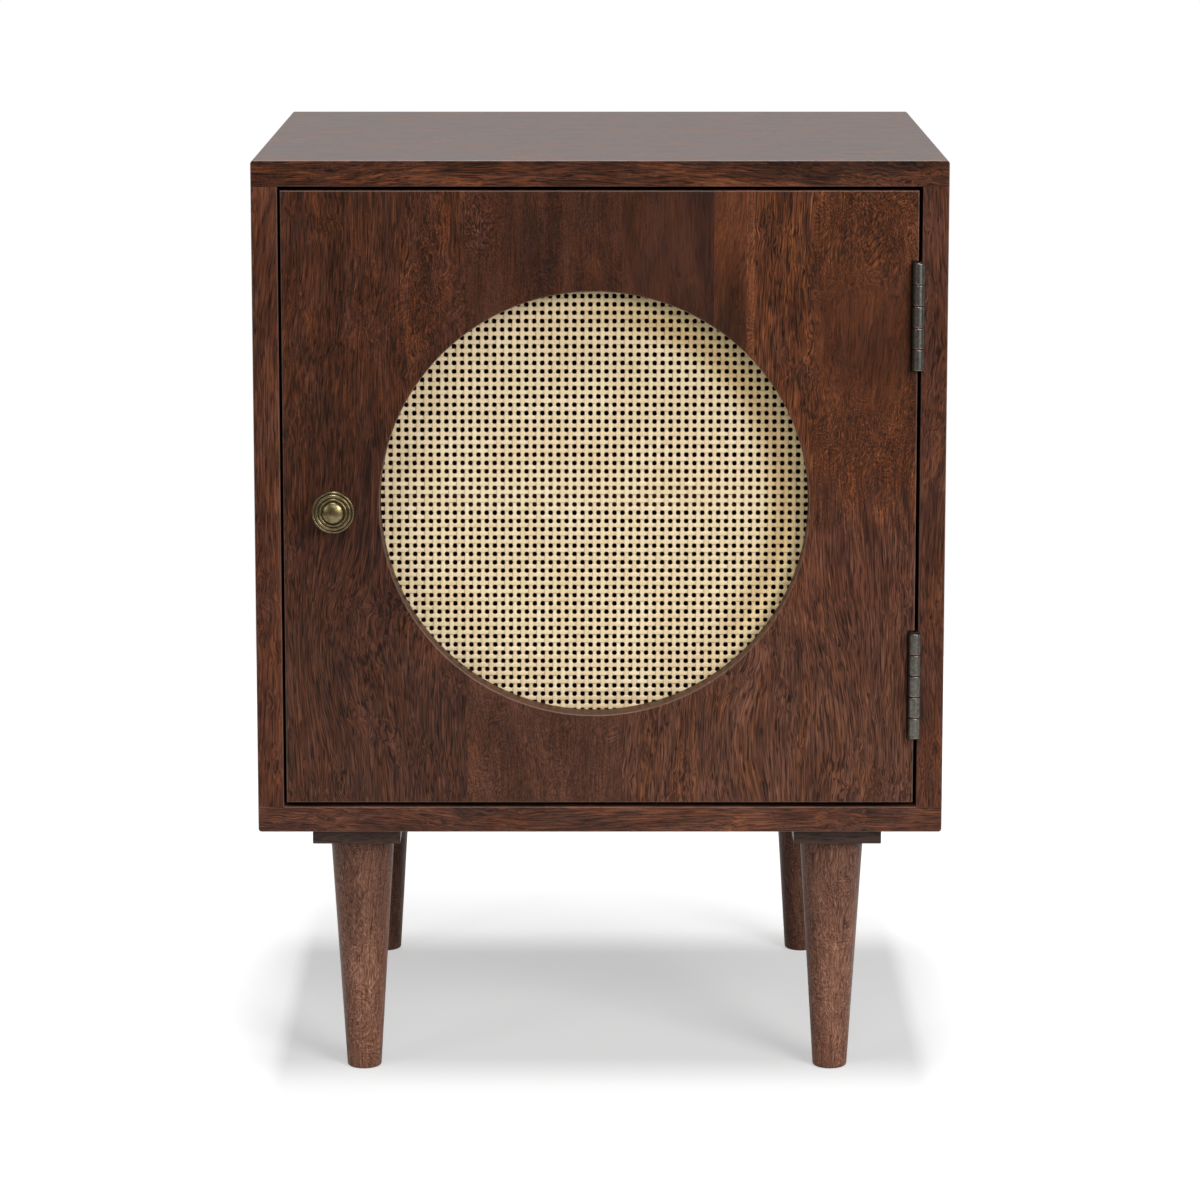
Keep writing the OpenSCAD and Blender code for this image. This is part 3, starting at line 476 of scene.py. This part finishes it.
def door_painted_light(tree, board, colour):
    """The door's lower half is painted a little less red, as light thrown up from the white floor.
    A painted shadow, nearly black, lies on the door beside each hinge barrel."""
    axes = add(tree, "SeparateXYZ", {0: board})
    # Painted light: the lower half is greyer and less red, as the white floor lights it from below
    low = add(tree, "MapRange", {"Value": axes.outputs["Z"], "From Min": 360, "From Max": 260},
              interpolation_type="SMOOTHSTEP")
    floor_light_tint = add(tree, "VectorMath", {0: colour, 1: (0.99, 1.07, 1.10)}, operation="MULTIPLY")
    colour = add(tree, "Mix", {0: low, 6: colour, 7: floor_light_tint}, data_type="RGBA")
    # Painted shadow of each barrel: a dark line 1 mm wide along its left side, which goes on behind
    # it
    beside = add(tree, "MapRange", {"Value": axes.outputs["X"], "From Min": BARREL_LEFT - 0.9,
                                    "From Max": BARREL_LEFT}, interpolation_type="SMOOTHSTEP")
    from_middle = distance(tree, axes.outputs["Z"], HINGES_Z)
    from_hinge = distance(tree, from_middle, HINGE_OFFSET)
    level = add(tree, "MapRange", {"Value": from_hinge, "From Min": BARREL_HALF + 1.6,
                                   "From Max": BARREL_HALF + 0.6})
    line = add(tree, "Math", {0: beside, 1: level}, operation="MULTIPLY")
    return add(tree, "Mix", {0: line, 6: colour, 7: linear("#0c0806")}, data_type="RGBA")


def leg_figure_and_painted_light(tree, board):
    """The front legs are painted darker toward the top, as shade under the carcass, and paler and
    redder toward the foot, as light from the floor. Their figure is curly.
    """
    height = add(tree, "SeparateXYZ", {0: board}).outputs["Z"]
    tone = add(tree, "MapRange", {"Value": height, "From Min": 155, "From Max": 70,
                                  "To Min": 0.35, "To Max": 0.56})
    warmth = add(tree, "MapRange", {"Value": height, "From Min": 130, "From Max": 60,
                                    "To Min": -0.3, "To Max": 0.8})
    return tone, 0.6, 0.8, 1.0, warmth


# Edge-glued staves, each with its own figure
dress(wood("stained mango wood, door staves", seed=0.3, arris_highlight=0.22, break_up=door_break,
           figure=door_figure, finish=door_painted_light), "door_panel")
# Straight grain in thin dark lines, upright on the sides
dress(wood("stained mango wood, sides", seed=1.7, tone=0.515, streaks=0.85, bend=1.3,
           warmth=0.3, arris_highlight=0.15), "left_side", "right_side")
# The top's upper face is painted darker than its front, as shade, and mirrors the studio softly
dress(wood("stained mango wood, top", along="X", seed=2.9, tone=0.43, clouds=2.0, curls=0.25,
           warmth=0.62, top_shade_share=0.58, arris_highlight=0.15), "top_board")
dress(wood("stained mango wood, lengthwise", along="X", seed=3.4, tone=0.52, clouds=1.5,
           curls=0.2, warmth=0.35, arris_highlight=0.15, specular=0.20), "bottom_board", "shelf")
# Dull and nearly black, as end grain drinks the stain
dress(wood("stained mango wood, leg blocks", (DARK,), along="X", seed=4.1, tone=0.82,
           streaks=0.7),
      *[f"leg_block_{a}_{b}" for a in ("front", "back") for b in ("left", "right")])
dress(wood("stained mango wood, ring", (DARK,), seed=5.3), "cane_ring")
# Turning has left the legs smooth, so the stain took thinly and their figure shows pale
dress(wood("stained mango wood, turned", (PALE, RUDDY), seed=6.6, figure=leg_figure_and_painted_light),
      "leg_front_left", "leg_front_right")
# The back legs are painted darker, as shade under the carcass
dress(wood("stained mango wood, turned, painted shade", (PALE,), seed=12.4, tone=0.30, streaks=0.5,
           curls=0.6), "leg_back_left", "leg_back_right")
# Duller than the boards, as veneer gets one thin coat
dress(wood("stained veneer, back panel", (PALE,), seed=7.7, tone=0.3, rough=0.55),
      "back_panel")
# Bare, straight-grained and matt
dress(wood("planed beech dowels", (BEECH,), seed=8.8, tone=0.6, rough=0.6, bend=0.3),
      "carcass_dowels")


# ---------- Metals, magnet and plastic ----------

def metal(name, colour, dark, rough, blot_mm=3.0, metallic=1.0, bump=0.0, coat=0.0):
    """Metal whose tone and sheen vary in small blots, darker where the finish is thick. A
    coat of lacquer whitens its highlights. Magnet and plastic are done with it too, with a
    grain of bump millimetres in place of the metal's shine."""
    material, tree = new_material(name)
    place = object_place(tree, blot_mm * MM)
    blots = add(tree, "TexNoise", {"Vector": place, "Scale": 1.0, "Detail": 4, "Roughness": 0.6})
    tone = add(tree, "ValToRGB", {"Fac": blots}, stops=[(0.35, dark), (0.62, colour)])
    gloss = add(tree, "MapRange", {"Value": blots, "From Min": 0.3, "From Max": 0.7,
                                   "To Min": rough + 0.07, "To Max": rough - 0.04})
    inputs = {"Base Color": tone, "Roughness": gloss, "Metallic": metallic,
              "Coat Weight": coat, "Coat Roughness": 0.2}
    if bump:
        inputs["Normal"] = add(tree, "Bump", {"Height": blots, "Strength": 0.4,
                                              "Distance": bump * MM})
    add(tree, "OutputMaterial", {"Surface": add(tree, "BsdfPrincipled", inputs)})
    return material


def knuckle_bronze(name, low_end):
    """Oil-rubbed bronze: nearly black brown, worn to copper at the four joints between the
    knuckles, where the pale copper ring is also a painted glint on the joints' edges. The barrel
    starts at this height in millimetres."""
    material, tree = new_material(name)
    place = object_place(tree)
    blots = add(tree, "TexNoise", {"Vector": place, "Scale": 0.45, "Detail": 3, "Roughness": 0.6})
    tone = add(tree, "ValToRGB", {"Fac": blots}, stops=[(0.35, "#585550"), (0.65, "#7a766e")])
    axes = add(tree, "SeparateXYZ", {0: place})
    height = add(tree, "Math", {0: axes.outputs["Z"], 1: low_end}, operation="SUBTRACT")
    to_joint = add(tree, "Math", {0: height, 1: KNUCKLE / 2}, operation="PINGPONG")
    ragged = add(tree, "Math", {0: blots, 1: 1.6, 2: to_joint}, operation="MULTIPLY_ADD")
    wear_and_glint = add(tree, "MapRange", {"Value": ragged, "From Min": 1.5, "From Max": 0.9,
                                  "To Max": 0.75}, interpolation_type="SMOOTHSTEP")
    # The barrel's two ends get neither the wear nor the painted glint
    between = add(tree, "MapRange", {"Value": distance(tree, height, BARREL_HALF),
                                     "From Min": BARREL_HALF - 3, "From Max": BARREL_HALF - 7})
    wear_and_glint = add(tree, "Math", {0: wear_and_glint, 1: between}, operation="MULTIPLY")
    colour = add(tree, "Mix", {0: wear_and_glint, 6: tone, 7: linear("#b08a78")}, data_type="RGBA")
    gloss = add(tree, "MapRange", {"Value": blots, "From Min": 0.3, "From Max": 0.7,
                                   "To Min": 0.42, "To Max": 0.32})
    shader = add(tree, "BsdfPrincipled", {"Base Color": colour, "Roughness": gloss,
                                          "Metallic": 1.0})
    add(tree, "OutputMaterial", {"Surface": shader})
    return material


# Turned and lacquered brass, dulled to olive, whose steps still flash pale
dress(metal("antique brass, aged and lacquered", "#80714e", "#584b31", 0.36, coat=0.4),
      "knob", "leg_inserts", "cane_ring_screws")
for hinge in ("upper_hinge", "lower_hinge"):
    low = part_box(hinge + "_pin")[0][2]
    dress(knuckle_bronze("oil-rubbed bronze, " + hinge.replace("_", " "), low / MM),
          hinge + "_side_leaf", hinge + "_door_leaf")
# The same patina on small parts, a little browner
dress(metal("oil-rubbed bronze, screws", "#5a524a", "#3c3834", 0.36, 2.0),
      "hinge_side_screws", "hinge_door_screws")
dress(metal("oil-rubbed bronze, hinge pins", "#746a60", "#4c4640", 0.36, 2.0),
      "upper_hinge_pin", "lower_hinge_pin")
# Bright grey with faint spangles
dress(metal("zinc-plated steel, bright", "#c9cbca", "#a6a9a8", 0.28, 2.5),
      "back_panel_screws", "leg_bolts", "leg_block_screws", "catch_pole_plates",
      "catch_screws", "knob_screw", "strike_plate", "strike_screw")
# Matt charcoal with a fine grain, as it comes from the press
dress(metal("sintered ferrite magnet", "#3c3c3e", "#2c2c2e", 0.6, 0.8, metallic=0.0,
            bump=0.05), "catch_magnet")
# A soft sheen broken by the mould's spark-eroded texture
dress(metal("moulded brown polypropylene", "#4d3a2e", "#473529", 0.48, 0.6, metallic=0.0,
            bump=0.04), "catch_housing")


# ---------- Woven cane ----------

# Spacing of the upright strands and of the level ones
PITCH_X = 5.23 * MM
PITCH_Z = 5.50 * MM
# The net's middle and radius, a strand's thickness, and how far it rises and falls
CANE_MID = (-3.65 * MM, -168.75 * MM, 391.3 * MM)
CANE_R = 150.9 * MM
STRAND_T = 0.24 * MM
CANE_RISE = 0.08 * MM
# Width of a strand from one crossing to the next, as a share of its width beside a hole
SWELL = (1.50, 1.20, 0.97, 1.20)
# How much the strands differ: in millimetres in place, in radians in slant, and in width
DRIFT = 0.05
SLANT = 0.0005
SPREAD = 0.015


def cane_strand(width, pitch):
    """A flat strand with rounded edges that stands along Z, weaves over and under every
    pitch, and spreads at the crossings, which rounds the corners of the holes."""
    deselect()
    bpy.ops.mesh.primitive_circle_add(vertices=8, radius=width / 2, fill_type="NOTHING",
                                      location=(0, CANE_RISE, 0))
    bpy.ops.object.transform_apply(location=True)
    strand = bpy.context.object
    bpy.ops.object.mode_set(mode="EDIT")
    bpy.ops.mesh.select_all(action="SELECT")
    bpy.ops.transform.resize(value=(SWELL[0], STRAND_T / width, 1),
                             center_override=(0, CANE_RISE, 0))
    # One wave, from a crossing on the far side to the next one there
    steps = 2 * len(SWELL)
    heights = [CANE_RISE * math.cos(2 * math.pi * i / steps) for i in range(steps + 1)]
    for i, (start, end) in enumerate(zip(heights, heights[1:])):
        bpy.ops.mesh.extrude_region_move(
            TRANSFORM_OT_translate={"value": (0, end - start, 2 * pitch / steps)})
        spread = SWELL[(i + 1) % len(SWELL)] / SWELL[i % len(SWELL)]
        bpy.ops.transform.resize(value=(spread, 1, 1), center_override=(0, 0, 0))
    bpy.ops.object.mode_set(mode="OBJECT")
    waves = math.ceil(CANE_R / pitch) + 1
    array = strand.modifiers.new("waves", "ARRAY")
    array.count = waves
    array.use_relative_offset = False
    array.use_constant_offset = True
    array.constant_offset_displace = (0, 0, 2 * pitch)
    array.use_merge_vertices = True
    array.merge_threshold = 0.01 * MM
    bpy.ops.object.modifier_apply(modifier="waves")
    # The crossing where the middle wave starts is brought to the origin
    shift = -2 * pitch * (waves // 2)
    strand.data.transform(Matrix.Translation((0, 0, shift)))
    return strand


def weave(name, width, pitch, spacing, lying):
    """Copies one strand across the window, every other one half a wave on, and cuts each to
    the cane's circle. Each differs a little in place, slant and width, as cut by hand."""
    strand = cane_strand(width, pitch)
    count = int(CANE_R / spacing)
    copies = []
    for i in range(-count, count + 1):
        drift = rng.gauss(0, DRIFT * MM)
        slant = rng.gauss(0, SLANT)
        swell = 1 + rng.gauss(0, SPREAD)
        along = rng.uniform(-DRIFT, DRIFT) * MM
        at = i * spacing + drift
        # Beside the rim there is no room for a whole strand
        if abs(at) > CANE_R - 1.2 * width:
            continue
        half = math.sqrt(CANE_R ** 2 - at ** 2)
        copy = strand.copy()
        copy.data = strand.data.copy()
        bpy.context.scene.collection.objects.link(copy)
        over = (i + lying) % 2
        turn = Matrix.Rotation(slant, 4, "Y") @ Matrix.Diagonal((swell, 1, 1, 1))
        copy.data.transform(Matrix.Translation((at, 0, over * pitch + along)) @ turn)
        deselect()
        copy.select_set(True)
        bpy.context.view_layer.objects.active = copy
        bpy.ops.object.mode_set(mode="EDIT")
        for end in (-1, 1):
            bpy.ops.mesh.select_all(action="SELECT")
            bpy.ops.mesh.bisect(plane_co=(0, 0, end * half), plane_no=(0, 0, end),
                                use_fill=True, clear_outer=True)
        # Only now is the strand closed, so that Blender can tell its outside
        bpy.ops.mesh.select_all(action="SELECT")
        bpy.ops.mesh.normals_make_consistent(inside=False)
        bpy.ops.object.mode_set(mode="OBJECT")
        copies.append(copy)
    bpy.data.objects.remove(strand)
    deselect()
    for copy in copies:
        copy.select_set(True)
    bpy.context.view_layer.objects.active = copies[0]
    bpy.ops.object.join()
    net = bpy.context.object
    net.name = name
    if lying:
        net.data.transform(Matrix.Rotation(math.pi / 2, 4, "Y"))
    net.data.transform(Matrix.Translation(CANE_MID))
    bpy.ops.object.shade_smooth()
    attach(net, "door")
    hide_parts("cane_panel")
    return net


def cane(name, lying):
    """Peeled rattan bark, woven damp and dried tight: pale straw with a soft gloss, faint
    lengthwise fibres, drawn 0.45 mm wide so that they show, and strands that differ a little
    in tone."""
    material, tree = new_material(name)
    place = grain_place(tree, "X" if lying else "Z")
    tone = 0.0
    for across, length, detail, share in ((5.3, 90, 1, 0.28), (0.45, 14, 1, 0.20),
                                          (34, 34, 2, 0.52)):
        pattern = fibres(tree, place, across, length, detail)
        tone = add(tree, "Math", {0: pattern, 1: share, 2: tone}, operation="MULTIPLY_ADD")
    colour = add(tree, "ValToRGB", {"Fac": tone},
                 stops=[(0.34, "#d7bf95"), (0.50, "#e3cda6"), (0.64, "#ecdcba")])
    # Painted shadow of the window's rim: toward the rim, most of all at the upper right, a broad
    # olive-brown ring, lightened again at the very rim as painted light
    in_net = add(tree, "VectorMath", {0: add(tree, "TexCoord").outputs["Object"], 1: CANE_MID},
                 operation="SUBTRACT")
    from_middle = add(tree, "VectorMath", {0: in_net}, operation="LENGTH")
    rim = add(tree, "MapRange", {"Value": from_middle, "From Min": 103 * MM,
                                 "From Max": 112 * MM}, interpolation_type="SMOOTHSTEP")
    sideways = add(tree, "VectorMath", {0: in_net, 1: (1, 0, 0.5)}, operation="DOT_PRODUCT")
    upper_right = add(tree, "MapRange", {"Value": sideways, "From Max": 105 * MM})
    rim_shade_share = add(tree, "Math", {0: rim, 1: upper_right}, operation="MULTIPLY")
    outward = add(tree, "MapRange", {"Value": from_middle, "From Min": 106 * MM,
                                     "From Max": 134 * MM})
    brown = add(tree, "ValToRGB", {"Fac": outward},
                stops=[(0.1, "#e2cda6"), (0.32, "#d2ba8e"), (0.5, "#c3a87c"),
                       (0.66, "#c2a679"), (0.82, "#e9ca93"), (0.95, "#fae2ab")])
    colour = add(tree, "Mix", {0: rim_shade_share, 6: colour, 7: brown}, data_type="RGBA")
    # Round each open hole the strands turn brown
    cells = add(tree, "VectorMath", {0: in_net, 1: (1 / PITCH_X, 1, 1 / PITCH_Z)},
                operation="MULTIPLY")
    cell = add(tree, "VectorMath", {0: cells}, operation="FRACTION")
    from_hole = add(tree, "VectorMath", {0: cell, 1: (-0.5, 0, -0.5)}, operation="ADD")
    from_hole = add(tree, "VectorMath", {0: from_hole, 1: (PITCH_X / MM, 0, PITCH_Z / MM)},
                    operation="MULTIPLY")
    reach = add(tree, "VectorMath", {0: from_hole}, operation="LENGTH")
    cut = add(tree, "MapRange", {"Value": reach, "From Min": 1.90, "From Max": 1.40,
                                 "To Max": 0.85}, interpolation_type="SMOOTHSTEP")
    colour = add(tree, "Mix", {0: cut, 6: colour, 7: linear("#805322")}, data_type="RGBA")
    shader = add(tree, "BsdfPrincipled", {"Base Color": colour, "Roughness": 0.45, "IOR": 1.5,
                                          "Specular IOR Level": 0.3})
    add(tree, "OutputMaterial", {"Surface": shader})
    return material


# Each set of strands waves over the spacing of the other
for set_name, width, pitch, spacing, lying in (
        ("upright", 2.56 * MM, PITCH_Z, PITCH_X, 0), ("level", 2.62 * MM, PITCH_X, PITCH_Z, 1)):
    net = weave(f"cane_{set_name}_strands", width, pitch, spacing, lying)
    net.data.materials.append(cane(f"rattan cane, {set_name} strands", lying))
